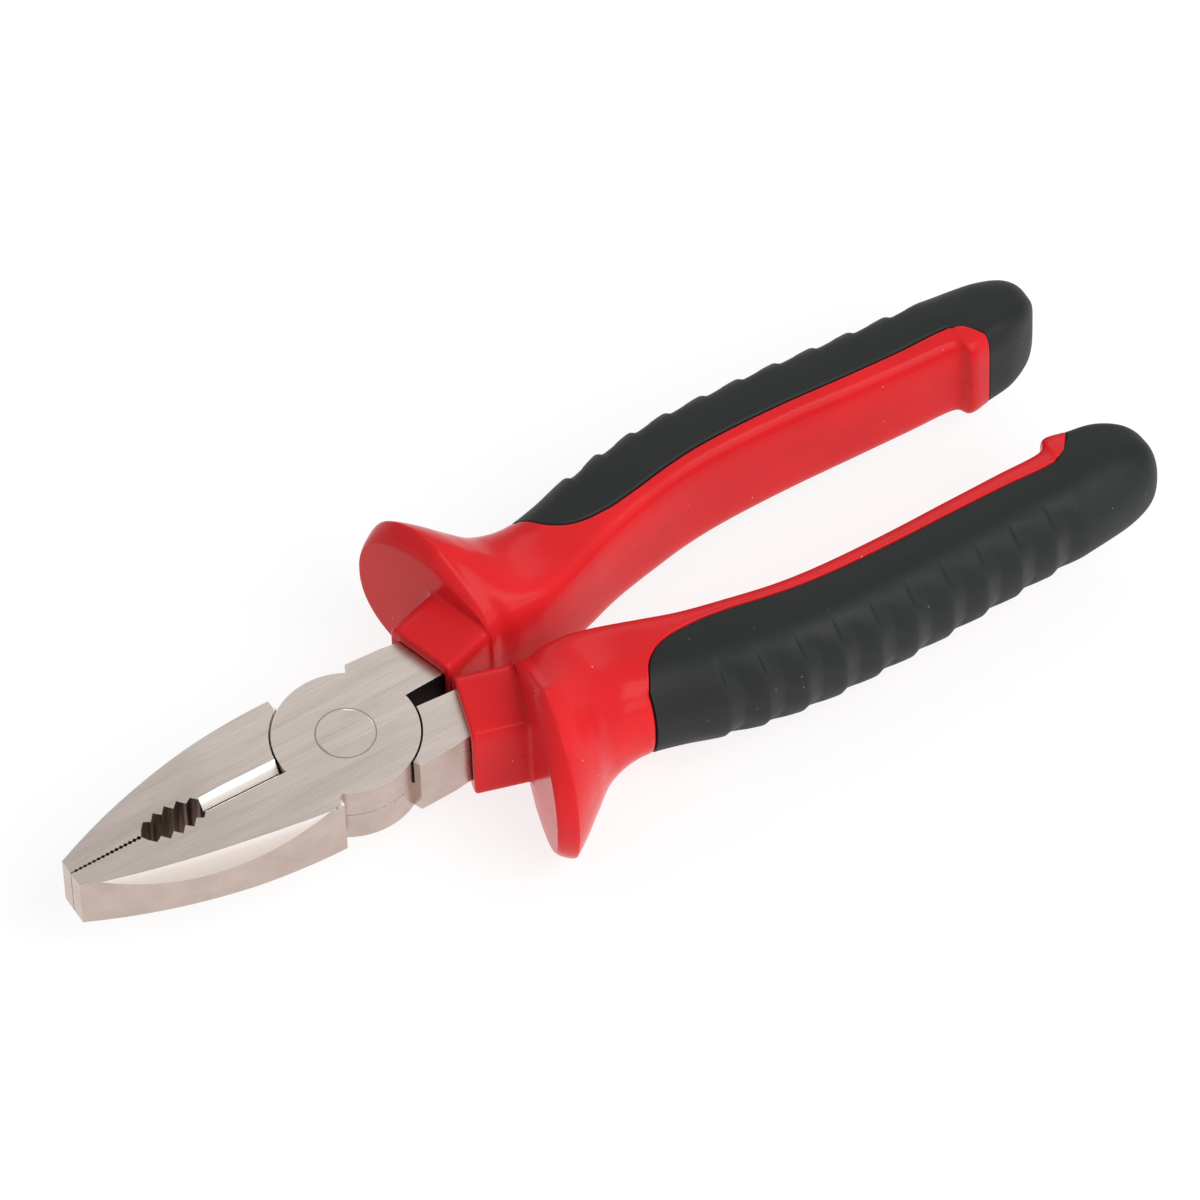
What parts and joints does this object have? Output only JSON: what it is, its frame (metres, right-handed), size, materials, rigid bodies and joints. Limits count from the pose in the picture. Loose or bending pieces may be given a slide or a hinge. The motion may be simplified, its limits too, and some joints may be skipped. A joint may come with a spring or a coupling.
{
  "type": "lineman pliers",
  "caption": "Combination lineman pliers with a lap joint, side cutter, pipe grip, serrated flat nose and moulded two-colour handles with finger guards.",
  "frame": {"origin": "pivot axis on the head's ground underside", "axes": "+X along the tool from the nose to the handles, +Y towards handle a, +Z along the pivot, up through the head"},
  "size_m": [0.1988, 0.0682, 0.0354],
  "materials": {
    "forged_steel": "ground and polished, nickel plated",
    "rivet_steel": "ground flush with the head",
    "red_sleeve": "glossy moulded plastic",
    "black_grip": "matte soft overmould"
  },
  "bodies": {
    "half_a": {"lever_a": "forged_steel", "pivot_rivet": "rivet_steel", "sleeve_a": "red_sleeve", "grip_a": "black_grip"},
    "half_b": {"lever_b": "forged_steel", "sleeve_b": "red_sleeve", "grip_b": "black_grip"}
  },
  "joints": [
    {"name": "pivot", "type": "hinge", "parent": "half_a", "child": "half_b", "pos_m": [0, 0, 0.0061], "axis": [0, 0, -1], "range_deg": [0, 58]}
  ]
}
